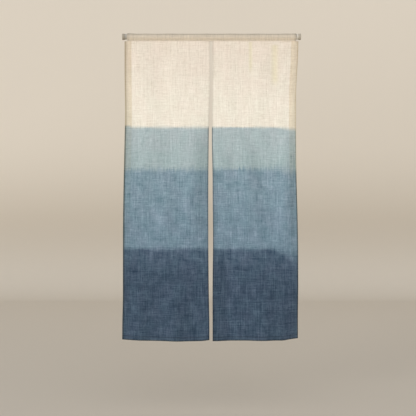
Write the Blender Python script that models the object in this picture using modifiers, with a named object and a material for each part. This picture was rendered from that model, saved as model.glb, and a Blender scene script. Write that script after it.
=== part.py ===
"""Two-panel noren curtain of dip-dyed cloth, hanging from a plain tension rod.

Lengths are in metres and +Z is up. The origin is the middle of the rod's axis. X runs along the rod, and the
cloth's front faces -Y. A drop is a distance below the rod's axis.
"""

import math
from collections import namedtuple

import bmesh
import bpy
import numpy as np

OBJECT_NAME = "noren_on_tension_rod"

# Clearance between pieces that touch
GAP = 0.0003

# Rod, a plain tube with a rubber cap pushed over each end
ROD_SPAN = 0.871
ROD_RADIUS = 0.013
ROD_WALL = 0.0012
ROUND_STEPS = 32

CAP_RADIUS = 0.015
CAP_COLLAR_RADIUS = 0.0144
CAP_LENGTH = 0.013
CAP_FOOT = 0.0065
CAP_WALL = 0.004
CAP_ROUNDING = 0.0015

# Cloth thicknesses: one layer of the heading, one layer of a panel, and a panel's folded hem
HEADING_CLOTH = 0.001
PANEL_CLOTH = 0.0012
HEM_CLOTH = 0.002

# Heading band, folded over the rod with its two lips closed on the panels' tops
HEADING_LEFT = -0.4113
HEADING_RIGHT = 0.4128
HEADING_STITCH_DROP = 0.0165
HEADING_LIP_DROP = 0.0203
HEADING_ARC_STEPS = 16
HEADING_LEG_STEPS = 2
HEADING_COLUMNS = 48

# Panels
PANEL_TOP_DROP = 0.016
PANEL_BOTTOM_DROP = 1.4873
OUTER_HEM = 0.035
INNER_HEM = 0.006
BOTTOM_HEM = 0.018
HEM_STEP = 0.003
PANEL_WIDTH = 0.427
PANEL_COLUMNS = 20
PANEL_ROWS = 30
CORNER_DROP = 0.0075
CORNER_RUN = 0.026
CORNER_FADE = 0.064
FOLD_START = 0.085
FOLD_FADES = 3.0
LIFT_START = 1.15

# Folds are shallower by this share above a drop, and come to their full depth over a run below it
TOP_CALM = 0.58
CALM_DROP = 0.35
CALM_RUN = 0.15

# Rows of points below the heading, as shares of the way down over which the folds begin
TOP_ROWS = (0.01, 0.1, 0.25, 0.5)
BODY_START = 0.75

# Each panel's sides: the X of its outer and its inner edge at a drop
Edge = namedtuple("Edge", "drop outer inner")
LEFT_EDGES = (
    Edge(0.016, -0.4245, -0.0093),
    Edge(0.110, -0.4245, -0.0093),
    Edge(0.210, -0.4240, -0.0093),
    Edge(0.310, -0.4226, -0.0098),
    Edge(0.385, -0.4221, -0.0122),
    Edge(0.480, -0.4240, -0.0137),
    Edge(0.675, -0.4284, -0.0156),
    Edge(0.920, -0.4323, -0.0159),
    Edge(1.090, -0.4325, -0.0151),
    Edge(1.286, -0.4335, -0.0129),
    Edge(1.385, -0.4362, -0.0109),
    Edge(1.490, -0.4374, -0.0105),
)
RIGHT_EDGES = (
    Edge(0.016, 0.4242, 0.0045),
    Edge(0.060, 0.4232, 0.0044),
    Edge(0.110, 0.4214, 0.0044),
    Edge(0.187, 0.4168, 0.0043),
    Edge(0.260, 0.4132, 0.0040),
    Edge(0.385, 0.4124, 0.0029),
    Edge(0.480, 0.4121, 0.0020),
    Edge(0.553, 0.4128, 0.0027),
    Edge(0.675, 0.4145, 0.0054),
    Edge(0.797, 0.4177, 0.0061),
    Edge(0.992, 0.4225, 0.0078),
    Edge(1.188, 0.4235, 0.0057),
    Edge(1.490, 0.4238, 0.0056),
)

# How far each panel's bottom edge lies above its lowest point, at an X
Lift = namedtuple("Lift", "x rise")
LEFT_LIFTS = (
    Lift(-0.437, 0.0072),
    Lift(-0.410, 0.0058),
    Lift(-0.374, 0.0048),
    Lift(-0.300, 0.0028),
    Lift(-0.200, 0.0012),
    Lift(-0.130, 0.0000),
    Lift(-0.080, 0.0004),
    Lift(-0.045, 0.0018),
    Lift(-0.010, 0.0058),
)
RIGHT_LIFTS = (
    Lift(0.006, 0.0003),
    Lift(0.065, 0.0012),
    Lift(0.160, 0.0038),
    Lift(0.262, 0.0036),
    Lift(0.310, 0.0048),
    Lift(0.350, 0.0040),
    Lift(0.384, 0.0084),
    Lift(0.424, 0.0122),
)

# Soft folds. Each runs between two points, fades at both ends, and stands out towards the front by its depth,
# or sinks back where the depth is negative
Fold = namedtuple("Fold", "x_top drop_top x_low drop_low width depth")
LEFT_FOLDS = (
    Fold(-0.330, 0.00, -0.310, 0.42, 0.050, 0.0030),
    Fold(-0.240, 0.00, -0.235, 0.40, 0.035, -0.0025),
    Fold(-0.155, 0.00, -0.165, 0.46, 0.050, 0.0034),
    Fold(-0.074, 0.36, -0.122, 1.06, 0.044, 0.0052),
    Fold(-0.004, 0.30, -0.006, 1.24, 0.046, -0.0098),
    Fold(-0.290, 0.30, -0.286, 0.68, 0.040, 0.0030),
    Fold(-0.372, 0.26, -0.376, 0.82, 0.032, -0.0034),
    Fold(-0.215, 0.30, -0.210, 0.68, 0.040, -0.0022),
    Fold(-0.226, 0.64, -0.232, 1.08, 0.045, 0.0034),
    Fold(-0.335, 0.80, -0.342, 1.24, 0.055, -0.0034),
    Fold(-0.350, 1.06, -0.352, 1.72, 0.030, 0.0032),
    Fold(-0.182, 1.18, -0.178, 1.74, 0.048, 0.0092),
    Fold(-0.086, 1.10, -0.094, 1.64, 0.042, -0.0026),
    Fold(-0.452, 1.18, -0.446, 1.80, 0.062, -0.0100),
)
RIGHT_FOLDS = (
    Fold(0.085, 0.00, 0.092, 0.50, 0.050, 0.0032),
    Fold(0.190, 0.00, 0.193, 0.28, 0.015, -0.0018),
    Fold(0.246, 0.00, 0.240, 0.38, 0.040, 0.0036),
    Fold(0.307, 0.00, 0.303, 0.32, 0.013, -0.0020),
    Fold(0.172, 0.40, 0.176, 1.00, 0.045, 0.0034),
    Fold(0.150, 0.34, 0.320, 0.94, 0.042, -0.0046),
    Fold(0.368, 0.32, 0.362, 1.10, 0.038, 0.0090),
    Fold(0.078, 0.92, 0.084, 1.68, 0.044, -0.0095),
    Fold(0.254, 1.04, 0.258, 1.74, 0.062, 0.0086),
    Fold(0.440, 1.20, 0.438, 1.78, 0.062, -0.0150),
)

# Where the heading's cloth stands off the rod or its lips hang lower, at an X
Pucker = namedtuple("Pucker", "x width rise sag")
PUCKERS = (
    Pucker(-0.402, 0.030, 0.0021, -0.0012),
    Pucker(-0.318, 0.022, 0.0006, 0.0004),
    Pucker(-0.205, 0.030, 0.0009, -0.0003),
    Pucker(-0.030, 0.022, 0.0004, 0.0007),
    Pucker(0.098, 0.026, 0.0008, -0.0004),
    Pucker(0.226, 0.024, 0.0006, 0.0003),
    Pucker(0.364, 0.018, 0.0010, 0.0024),
    Pucker(0.405, 0.016, 0.0014, -0.0006),
)

# Side-to-side sway of the seam that closes the heading, as waves along the rod
Wave = namedtuple("Wave", "length height start")
SEAM_WAVES = (
    Wave(0.310, 0.0005, 0.4),
    Wave(0.137, 0.0003, 1.9),
)

# Dye, as the drop at which each band ends, and its colour
Band = namedtuple("Band", "end red green blue")
DYE_BANDS = (
    Band(0.445, 0.800, 0.716, 0.590),
    Band(0.648, 0.381, 0.462, 0.462),
    Band(1.036, 0.206, 0.296, 0.352),
    Band(1.500, 0.058, 0.089, 0.127),
)
HEADING_COLOUR = (0.617, 0.527, 0.413)
ROD_COLOUR = (0.74, 0.72, 0.68)
CAP_COLOUR = (0.50, 0.47, 0.41)
CLOTH_ROUGHNESS = 0.9
ENAMEL_ROUGHNESS = 0.25
ENAMEL_METALLIC = 0.3
RUBBER_ROUGHNESS = 0.6
MERGE_DISTANCE = 0.00001


def clear_scene():
    for found in list(bpy.data.objects):
        bpy.data.objects.remove(found, do_unlink=True)


def soft_step(share):
    share = min(max(share, 0.0), 1.0)
    return share * share * (3.0 - 2.0 * share)


def hump(distance, width):
    return math.exp(-((distance / width) ** 2))


def read_smooth(places, values, at):
    """Reads a smooth curve through a table's points, held level past its two ends."""
    slopes = np.gradient(values, places)
    at = min(max(at, places[0]), places[-1])
    first = min(int(np.searchsorted(places, at, side="right")) - 1, len(places) - 2)
    span = places[first + 1] - places[first]
    t = (at - places[first]) / span
    return (
        values[first] * (1.0 + 2.0 * t) * (1.0 - t) ** 2
        + values[first + 1] * (3.0 - 2.0 * t) * t**2
        + span * (slopes[first] * t * (1.0 - t) ** 2 + slopes[first + 1] * (t - 1.0) * t**2)
    )


def plain_material(name, colour, roughness, metallic=0.0):
    material = bpy.data.materials.new(name)
    material.use_nodes = True
    shader = material.node_tree.nodes["Principled BSDF"]
    shader.inputs["Base Color"].default_value = (*colour, 1.0)
    shader.inputs["Roughness"].default_value = roughness
    shader.inputs["Metallic"].default_value = metallic
    return material


def dyed_material(name):
    """Cloth whose dye changes with height: cream, pale teal, mid blue and navy."""
    material = plain_material(name, DYE_BANDS[0][1:], CLOTH_ROUGHNESS)
    nodes = material.node_tree.nodes
    links = material.node_tree.links
    place = nodes.new("ShaderNodeTexCoord")
    split = nodes.new("ShaderNodeSeparateXYZ")
    share = nodes.new("ShaderNodeMapRange")
    ramp = nodes.new("ShaderNodeValToRGB")
    share.inputs["From Min"].default_value = 0.0
    share.inputs["From Max"].default_value = -DYE_BANDS[-1].end
    ramp.color_ramp.interpolation = "CONSTANT"
    start = 0.0
    for index, band in enumerate(DYE_BANDS):
        stops = ramp.color_ramp.elements
        stop = stops[index] if index < 2 else stops.new(start)
        stop.position = start
        stop.color = (band.red, band.green, band.blue, 1.0)
        start = band.end / DYE_BANDS[-1].end
    links.new(place.outputs["Object"], split.inputs["Vector"])
    links.new(split.outputs["Z"], share.inputs["Value"])
    links.new(share.outputs["Result"], ramp.inputs["Fac"])
    links.new(ramp.outputs["Color"], nodes["Principled BSDF"].inputs["Base Color"])
    return material


def add_object(name, mesh, material, collection, parent):
    made = bpy.data.objects.new(name, mesh)
    made.data.materials.append(material)
    collection.objects.link(made)
    made.parent = parent
    return made


def grid_mesh(name, columns, rows, place):
    """A grid of quads with columns by rows points, each put where place(column, row) says."""
    cloth = bmesh.new()
    bmesh.ops.create_grid(cloth, x_segments=columns - 1, y_segments=rows - 1, size=1.0)
    for point in cloth.verts:
        column = round((point.co.x + 1.0) / 2.0 * (columns - 1))
        row = round((point.co.y + 1.0) / 2.0 * (rows - 1))
        point.co = place(column, row)
    mesh = bpy.data.meshes.new(name)
    cloth.to_mesh(mesh)
    cloth.free()
    mesh.shade_smooth()
    return mesh


def thicken(cloth, thickness):
    solid = cloth.modifiers.new("Thickness", "SOLIDIFY")
    solid.thickness = thickness
    solid.offset = 0.0
    solid.use_even_offset = True
    return solid


def seam_sway(x):
    return sum(
        wave.height * math.sin(2.0 * math.pi * x / wave.length + wave.start) for wave in SEAM_WAVES
    )


def heading_section():
    """The heading's middle surface in the YZ plane, from its front lip up over the rod to its back lip.

    Each point carries how much of a pucker's rise and of the seam's sway it takes.
    """
    step_count = HEADING_ARC_STEPS
    half_seam = HEM_CLOTH / 2.0 + GAP + HEADING_CLOTH / 2.0
    reach = math.hypot(half_seam, HEADING_STITCH_DROP)
    lean = math.atan2(half_seam, HEADING_STITCH_DROP)
    half_step = math.pi / step_count
    radius = (ROD_RADIUS + GAP) / math.cos(half_step) + HEADING_CLOTH / 2.0
    leave = lean + math.acos(radius / reach)
    front = [(-half_seam, -HEADING_LIP_DROP, 0.0, 1.0)]
    for step in range(HEADING_LEG_STEPS):
        share = step / HEADING_LEG_STEPS
        y = -half_seam + share * (half_seam - radius * math.sin(leave))
        z = -HEADING_STITCH_DROP + share * (HEADING_STITCH_DROP - radius * math.cos(leave))
        front.append((y, z, 0.0, 1.0 - share))
    arc = []
    for step in range(step_count + 1):
        angle = leave + (2.0 * math.pi - 2.0 * leave) * step / step_count
        rise = math.sin((angle - leave) / (2.0 * math.pi - 2.0 * leave) * math.pi)
        arc.append((-radius * math.sin(angle), -radius * math.cos(angle), rise, 0.0))
    back = [(-y, z, rise, sway) for y, z, rise, sway in reversed(front)]
    return front + arc + back


def build_heading(collection, parent):
    section = heading_section()

    def place(column, row):
        x = HEADING_LEFT + (HEADING_RIGHT - HEADING_LEFT) * column / HEADING_COLUMNS
        y, z, rise_share, sway_share = section[row]
        rise = sum(pucker.rise * hump(x - pucker.x, pucker.width) for pucker in PUCKERS)
        sag = sum(pucker.sag * hump(x - pucker.x, pucker.width) for pucker in PUCKERS)
        out = 1.0 + rise * rise_share / math.hypot(y, z)
        lip_share = soft_step((-z - HEADING_STITCH_DROP) / (HEADING_LIP_DROP - HEADING_STITCH_DROP))
        return x, y * out + seam_sway(x) * sway_share, z * out - sag * lip_share

    mesh = grid_mesh("heading", HEADING_COLUMNS + 1, len(section), place)
    cloth = plain_material("heading_cloth", HEADING_COLOUR, CLOTH_ROUGHNESS)
    heading = add_object("heading", mesh, cloth, collection, parent)
    thicken(heading, HEADING_CLOTH)


def panel_columns():
    """Distances of a panel's columns of points from its outer edge, closer together at the hems."""
    body = np.linspace(OUTER_HEM + HEM_STEP, PANEL_WIDTH - INNER_HEM - HEM_STEP, PANEL_COLUMNS)
    return [0.0, OUTER_HEM / 2.0, OUTER_HEM, *body, PANEL_WIDTH - INNER_HEM, PANEL_WIDTH]


def panel_rows():
    """Drops of a panel's rows of points, closer together at the heading and the bottom hem."""
    start = HEADING_LIP_DROP + BODY_START * FOLD_START
    body = np.linspace(start, PANEL_BOTTOM_DROP - BOTTOM_HEM - HEM_STEP, PANEL_ROWS)
    upper = [HEADING_LIP_DROP + FOLD_START * share for share in TOP_ROWS]
    return [PANEL_TOP_DROP, *upper, *body, PANEL_BOTTOM_DROP - BOTTOM_HEM, PANEL_BOTTOM_DROP]


def relief(x, drop, folds):
    """How far the folds bring the cloth forward at one place."""
    total = 0.0
    for fold in folds:
        along = (drop - fold.drop_top) / (fold.drop_low - fold.drop_top)
        fade_in = 1.0 if fold.drop_top == 0.0 else soft_step(FOLD_FADES * along)
        strength = fade_in * soft_step(FOLD_FADES * (1.0 - along))
        middle = fold.x_top + (fold.x_low - fold.x_top) * min(max(along, 0.0), 1.0)
        total += fold.depth * strength * hump(x - middle, fold.width)
    calm = 1.0 - TOP_CALM * soft_step(1.0 - (drop - CALM_DROP) / CALM_RUN)
    return total * calm * soft_step((drop - HEADING_LIP_DROP) / FOLD_START)


def build_panel(name, edges, lifts, folds, collection, parent):
    across = panel_columns()
    rows = panel_rows()
    drops, outers, inners = (list(column) for column in zip(*edges))
    lift_places, rises = (list(column) for column in zip(*lifts))
    leftwards = outers[0] < inners[0]

    def place(column, row):
        # Columns run from left to right and rows from bottom to top, so that the sheet faces the front
        distance = across[column] if leftwards else across[-1 - column]
        drop = rows[-1 - row]
        outer = read_smooth(drops, outers, drop)
        inner = read_smooth(drops, inners, drop)
        x = outer + (inner - outer) * distance / PANEL_WIDTH
        corner = soft_step(1.0 - distance / CORNER_RUN) * soft_step(1.0 - drop / CORNER_FADE)
        rise = read_smooth(lift_places, rises, x)
        lift = rise * soft_step((drop - LIFT_START) / (PANEL_BOTTOM_DROP - LIFT_START))
        return x, seam_sway(x) - relief(x, drop, folds), lift - drop - CORNER_DROP * corner

    mesh = grid_mesh(name, len(across), len(rows), place)
    panel = add_object(name, mesh, dyed_material(name + "_cloth"), collection, parent)
    hem = panel.vertex_groups.new(name="hem")
    for point in range(len(mesh.vertices)):
        row, column = divmod(point, len(across))
        distance = across[column] if leftwards else across[-1 - column]
        at_side = distance <= OUTER_HEM or distance >= PANEL_WIDTH - INNER_HEM
        at_bottom = rows[-1 - row] >= PANEL_BOTTOM_DROP - BOTTOM_HEM
        hem.add([point], 1.0 if at_side or at_bottom else 0.0, "REPLACE")
    solid = thicken(panel, HEM_CLOTH)
    solid.vertex_group = hem.name
    solid.thickness_vertex_group = PANEL_CLOTH / HEM_CLOTH


def turned_object(name, profile, closed, material, collection, parent):
    """A profile of (radius, height) points turned round the local Z axis."""
    points = [(radius, 0.0, height) for radius, height in profile]
    edges = [(index, index + 1) for index in range(len(points) - 1)]
    if closed:
        edges.append((len(points) - 1, 0))
    mesh = bpy.data.meshes.new(name)
    mesh.from_pydata(points, edges, [])
    made = add_object(name, mesh, material, collection, parent)
    turn = made.modifiers.new("Turn", "SCREW")
    turn.steps = ROUND_STEPS
    turn.render_steps = ROUND_STEPS
    turn.use_merge_vertices = True
    turn.merge_threshold = MERGE_DISTANCE
    turn.use_smooth_shade = True
    return made


def build_rod(collection, parent):
    half_tube = ROD_SPAN / 2.0 - CAP_WALL - GAP
    bore = ROD_RADIUS - ROD_WALL
    profile = [(ROD_RADIUS, half_tube), (ROD_RADIUS, -half_tube), (bore, -half_tube), (bore, half_tube)]
    steel = plain_material("rod_steel", ROD_COLOUR, ENAMEL_ROUGHNESS, ENAMEL_METALLIC)
    rod = turned_object("rod", profile, True, steel, collection, parent)
    rod.rotation_euler = (0.0, math.pi / 2.0, 0.0)


def build_caps(collection, parent):
    bore = (ROD_RADIUS + GAP) / math.cos(math.pi / ROUND_STEPS)
    profile = [(0.0, 0.0), (CAP_RADIUS - CAP_ROUNDING, 0.0)]
    for angle in (math.pi / 6.0, math.pi / 3.0, math.pi / 2.0):
        radius = CAP_RADIUS - CAP_ROUNDING * (1.0 - math.sin(angle))
        profile.append((radius, -CAP_ROUNDING * (1.0 - math.cos(angle))))
    profile += [
        (CAP_RADIUS, -CAP_FOOT + CAP_ROUNDING / 2.0),
        (CAP_COLLAR_RADIUS, -CAP_FOOT),
        (CAP_COLLAR_RADIUS, -CAP_LENGTH),
        (bore, -CAP_LENGTH),
        (bore, -CAP_WALL),
        (0.0, -CAP_WALL),
    ]
    for name, side in (("rod_cap_left", -1.0), ("rod_cap_right", 1.0)):
        rubber = plain_material(name + "_rubber", CAP_COLOUR, RUBBER_ROUGHNESS)
        cap = turned_object(name, profile, False, rubber, collection, parent)
        cap.location = (side * ROD_SPAN / 2.0, 0.0, 0.0)
        cap.rotation_euler = (0.0, side * math.pi / 2.0, 0.0)


def main():
    clear_scene()
    collection = bpy.data.collections.new(OBJECT_NAME)
    bpy.context.scene.collection.children.link(collection)
    origin = bpy.data.objects.new("rod_middle", None)
    collection.objects.link(origin)
    build_rod(collection, origin)
    build_caps(collection, origin)
    build_heading(collection, origin)
    build_panel("panel_left", LEFT_EDGES, LEFT_LIFTS, LEFT_FOLDS, collection, origin)
    build_panel("panel_right", RIGHT_EDGES, RIGHT_LIFTS, RIGHT_FOLDS, collection, origin)


main()
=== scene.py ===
import math
from collections import namedtuple
from functools import partialmethod

import bpy
import numpy as np
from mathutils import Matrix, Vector


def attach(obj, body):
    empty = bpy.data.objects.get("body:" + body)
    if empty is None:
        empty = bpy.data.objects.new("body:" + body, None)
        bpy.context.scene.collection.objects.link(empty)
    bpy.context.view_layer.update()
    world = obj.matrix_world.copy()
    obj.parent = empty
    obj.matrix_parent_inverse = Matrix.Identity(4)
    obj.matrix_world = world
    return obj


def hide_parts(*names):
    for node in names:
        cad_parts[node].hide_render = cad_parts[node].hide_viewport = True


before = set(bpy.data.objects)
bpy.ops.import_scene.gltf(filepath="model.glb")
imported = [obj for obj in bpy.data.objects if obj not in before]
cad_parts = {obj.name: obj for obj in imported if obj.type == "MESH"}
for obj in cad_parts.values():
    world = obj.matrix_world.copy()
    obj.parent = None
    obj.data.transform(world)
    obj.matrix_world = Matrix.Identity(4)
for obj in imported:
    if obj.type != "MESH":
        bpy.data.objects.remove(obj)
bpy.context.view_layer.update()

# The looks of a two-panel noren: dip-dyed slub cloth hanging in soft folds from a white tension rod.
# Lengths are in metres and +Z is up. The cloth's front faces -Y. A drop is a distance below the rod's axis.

bpy.ops.object.select_all(action="DESELECT")

BODY = "root"

# Rod and its two caps
ROD_SPAN = 0.871
ROD_RADIUS = 0.013
ROD_WALL = 0.0012
ROD_RIM = 0.0002
CAP_RADIUS = 0.015
CAP_COLLAR_RADIUS = 0.0144
CAP_LENGTH = 0.013
CAP_FOOT = 0.0065
CAP_WALL = 0.004
CAP_RIM = 0.0006
CAP_RING_INSET = 0.0042
CAP_RING_DEPTH = 0.0006
FIT = 0.0003
ROUND_STEPS = 96

# Cloth's thickness, the distance between a hem's layers, where the front one lies, and a hem's half turn
CLOTH = 0.0006
LAYER = 0.0009
FRONT_SHIFT = -0.0003
HALF_TURN = np.linspace(-math.pi / 2.0, math.pi / 2.0, 7)

# Heading: its sides, seam and lips, and its rows of points down the turned-in edge, round the lip, up to the
# seam, up to the rod and over it
HEADING_LEFT = -0.4113
HEADING_RIGHT = 0.4128
SEAM_DROP = 0.0165
SEAM_THREAD_DROP = 0.0171
LIP_DROP = 0.0203
LIP_TURN = 0.0003
SEAM_SPACE = 0.00195
LIP_TURN_IN = 0.0075
HEADING_RADIUS = 0.0140
HEADING_COLUMNS = 330
HEADING_ROWS = (5, 6, 4, 9, 44)

# Panels, and how far past its seam a hem's thickness eases away
PANEL_TOP_DROP = 0.016
PANEL_BOTTOM_DROP = 1.4873
PANEL_WIDTH = 0.427
PANEL_COLUMNS = 96
PANEL_ROWS = 380
OUTER_HEM = 0.035
OUTER_HEM_COLUMNS = 9
INNER_HEM = 0.006
INNER_HEM_COLUMNS = 3
BOTTOM_HEM = 0.018
BOTTOM_HEM_ROWS = 6
HEM_EASE = 0.008
HEM_EASE_RUN = 0.006

# How the top corners sag, the bottom edge lifts, and the folds start, shallower above CALM_DROP
CORNER_DROP = 0.0075
CORNER_RUN = 0.026
CORNER_FADE = 0.064
LIFT_START = 1.15
FOLD_START = 0.085
TOP_CALM = 0.58
CALM_DROP = 0.35
CALM_RUN = 0.15

# Stitches, and a small step for margins and directions
STITCH_LENGTH = 0.0030
STITCH_PITCH = 0.0042
STITCH_THICKNESS = 0.0005
STITCH_INSET = 0.0016
STITCH_PROUD = CLOTH / 2.0 + STITCH_THICKNESS * 0.15
STITCH_TOP_DROP = LIP_DROP + 0.004
SMALL_STEP = 0.001

# Each panel's sides: a drop, and the X of the outer and the inner edge there
LEFT_EDGES = (
    (0.016, -0.4245, -0.0093),
    (0.11, -0.4245, -0.0093),
    (0.21, -0.424, -0.0093),
    (0.31, -0.4226, -0.0098),
    (0.385, -0.4221, -0.0122),
    (0.48, -0.424, -0.0137),
    (0.675, -0.4284, -0.0156),
    (0.92, -0.4323, -0.0159),
    (1.09, -0.4325, -0.0151),
    (1.286, -0.4335, -0.0129),
    (1.385, -0.4362, -0.0109),
    (1.49, -0.4374, -0.0105),
)
RIGHT_EDGES = (
    (0.016, 0.4242, 0.0045),
    (0.06, 0.4232, 0.0044),
    (0.11, 0.4214, 0.0044),
    (0.187, 0.4168, 0.0043),
    (0.26, 0.4132, 0.004),
    (0.385, 0.4124, 0.0029),
    (0.48, 0.4121, 0.002),
    (0.553, 0.4128, 0.0027),
    (0.675, 0.4145, 0.0054),
    (0.797, 0.4177, 0.0061),
    (0.992, 0.4225, 0.0078),
    (1.188, 0.4235, 0.0057),
    (1.49, 0.4238, 0.0056),
)

# Each panel's bottom edge: an X, and how far above its lowest point it lies there
LEFT_LIFTS = (
    (-0.437, 0.0072),
    (-0.41, 0.0058),
    (-0.374, 0.0048),
    (-0.3, 0.0028),
    (-0.2, 0.0012),
    (-0.13, 0.0),
    (-0.08, 0.0004),
    (-0.045, 0.0018),
    (-0.01, 0.0058),
)
RIGHT_LIFTS = (
    (0.006, 0.0003),
    (0.065, 0.0012),
    (0.16, 0.0038),
    (0.262, 0.0036),
    (0.31, 0.0048),
    (0.35, 0.004),
    (0.384, 0.0084),
    (0.424, 0.0122),
)

# Soft folds: the X and drop of the top and the low end, the width, and how far it stands out to the front
LEFT_FOLDS = (
    (-0.33, 0.0, -0.31, 0.42, 0.05, 0.003),
    (-0.24, 0.0, -0.235, 0.4, 0.035, -0.0025),
    (-0.155, 0.0, -0.165, 0.46, 0.05, 0.0034),
    (-0.074, 0.36, -0.122, 1.06, 0.044, 0.0052),
    (-0.004, 0.3, -0.006, 1.24, 0.046, -0.0098),
    (-0.29, 0.3, -0.286, 0.68, 0.04, 0.003),
    (-0.372, 0.26, -0.376, 0.82, 0.032, -0.0034),
    (-0.215, 0.3, -0.21, 0.68, 0.04, -0.0022),
    (-0.226, 0.64, -0.232, 1.08, 0.045, 0.0034),
    (-0.335, 0.8, -0.342, 1.24, 0.055, -0.0034),
    (-0.35, 1.06, -0.352, 1.72, 0.03, 0.0032),
    (-0.182, 1.18, -0.178, 1.74, 0.048, 0.0092),
    (-0.086, 1.1, -0.094, 1.64, 0.042, -0.0026),
    (-0.452, 1.18, -0.446, 1.8, 0.062, -0.01),
)
RIGHT_FOLDS = (
    (0.085, 0.0, 0.092, 0.5, 0.05, 0.0032),
    (0.19, 0.0, 0.193, 0.28, 0.015, -0.0018),
    (0.246, 0.0, 0.24, 0.38, 0.04, 0.0036),
    (0.307, 0.0, 0.303, 0.32, 0.013, -0.002),
    (0.172, 0.4, 0.176, 1.0, 0.045, 0.0034),
    (0.15, 0.34, 0.32, 0.94, 0.042, -0.0046),
    (0.368, 0.32, 0.362, 1.1, 0.038, 0.009),
    (0.078, 0.92, 0.084, 1.68, 0.044, -0.0095),
    (0.254, 1.04, 0.258, 1.74, 0.062, 0.0086),
    (0.44, 1.2, 0.438, 1.78, 0.062, -0.015),
)

# Finer creases, which only the cloth itself shows
LEFT_CREASES = (
    (-0.386, 0.02, -0.392, 0.3, 0.012, -0.0006),
    (-0.11, 0.05, -0.1, 0.34, 0.018, 0.0007),
    (-0.278, 0.42, -0.262, 0.7, 0.016, -0.0006),
    (-0.158, 0.52, -0.15, 0.86, 0.018, 0.0008),
    (-0.33, 0.66, -0.318, 1.02, 0.016, 0.0006),
    (-0.046, 0.7, -0.052, 1.06, 0.014, -0.0007),
    (-0.25, 1.02, -0.262, 1.4, 0.018, -0.0007),
    (-0.12, 1.16, -0.128, 1.5, 0.014, 0.0006),
    (-0.396, 0.94, -0.402, 1.3, 0.014, 0.0006),
)
RIGHT_CREASES = (
    (0.04, 0.04, 0.046, 0.36, 0.014, -0.0006),
    (0.146, 0.1, 0.138, 0.44, 0.016, 0.0006),
    (0.352, 0.03, 0.346, 0.26, 0.012, 0.0006),
    (0.11, 0.46, 0.122, 0.84, 0.02, -0.0008),
    (0.302, 0.52, 0.296, 0.9, 0.016, 0.0007),
    (0.178, 0.7, 0.172, 1.06, 0.016, 0.0007),
    (0.272, 1.02, 0.262, 1.38, 0.016, -0.0007),
    (0.12, 1.12, 0.128, 1.48, 0.014, 0.0006),
    (0.398, 0.6, 0.4, 1.0, 0.01, -0.0005),
)

# Puckers of the heading: an X, a width, how far cloth stands off the rod, and how much lower its lips hang
PUCKERS = (
    (-0.402, 0.03, 0.0021, -0.0012),
    (-0.318, 0.022, 0.0006, 0.0004),
    (-0.205, 0.03, 0.0009, -0.0003),
    (-0.03, 0.022, 0.0004, 0.0007),
    (0.098, 0.026, 0.0008, -0.0004),
    (0.226, 0.024, 0.0006, 0.0003),
    (0.364, 0.018, 0.001, 0.0024),
    (0.405, 0.016, 0.0014, -0.0006),
)

# Short gathers that rise from the heading's seam: the X at the seam, lean, width and depth
GATHERS = (
    (-0.396, 0.2, 0.004, 0.0005),
    (-0.371, -0.35, 0.0034, -0.0004),
    (-0.342, 0.1, 0.0046, 0.00035),
    (-0.301, 0.45, 0.0036, -0.00045),
    (-0.268, -0.15, 0.0042, 0.0004),
    (-0.226, 0.3, 0.0034, -0.00035),
    (-0.188, -0.4, 0.0048, 0.00045),
    (-0.141, 0.15, 0.0036, -0.0004),
    (-0.097, -0.2, 0.004, 0.00035),
    (-0.06, 0.35, 0.0034, -0.0004),
    (-0.012, -0.3, 0.0042, -0.0005),
    (0.01, 0.3, 0.004, 0.00045),
    (0.054, 0.15, 0.0046, -0.00035),
    (0.091, -0.35, 0.0036, 0.0004),
    (0.133, 0.25, 0.0042, -0.0004),
    (0.171, -0.1, 0.0034, 0.00035),
    (0.214, 0.4, 0.0044, -0.00045),
    (0.259, -0.25, 0.0036, 0.0004),
    (0.298, 0.1, 0.004, -0.00035),
    (0.341, -0.3, 0.0044, 0.00045),
    (0.372, 0.35, 0.0036, -0.00055),
    (0.399, -0.2, 0.004, 0.00045),
)

# Where gathers die away below the rod's top, the most they sink in, and how far from the seam they begin
GATHER_TOP = 0.014
GATHER_FADE = 0.022
GATHER_SINK = 0.0001
GATHER_CLEAR = 0.0045

# Waves in the seam that closes the heading: length, height and start
SEAM_WAVES = (
    (0.31, 0.0005, 0.4),
    (0.137, 0.0003, 1.9),
)

# Floor, backdrop, camera and light
FLOOR_DROP = 1.83
STAGE_WIDTH = 16.0
STAGE_FRONT_Y = -6.0
BACKDROP_Y = 4.5
BACKDROP_HEIGHT = 5.0
BACKDROP_FADE = (-1.6, 0.0)
COVE_RADIUS = 0.9
COVE_STEPS = 16
CAMERA_PLACE = (-0.0171, -3.1, -0.8361)
CAMERA_LENS = 54.92
CAMERA_SENSOR = 36.0
LIGHT_HEADING = (0.76, 0.60, -0.05)
LIGHT_POWER = 2.65
LIGHT_SPREAD = math.radians(38.0)
SKY_COLOUR = (0.985, 1.0, 1.05, 1.0)
SKY_STRENGTH = 0.632


def tone(red, green, blue):
    """A colour of 0 to 255 parts as a shader takes it."""
    parts = [part / 255.0 for part in (red, green, blue)]
    return tuple(((part + 0.055) / 1.055) ** 2.4 for part in parts) + (1.0,)


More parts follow.
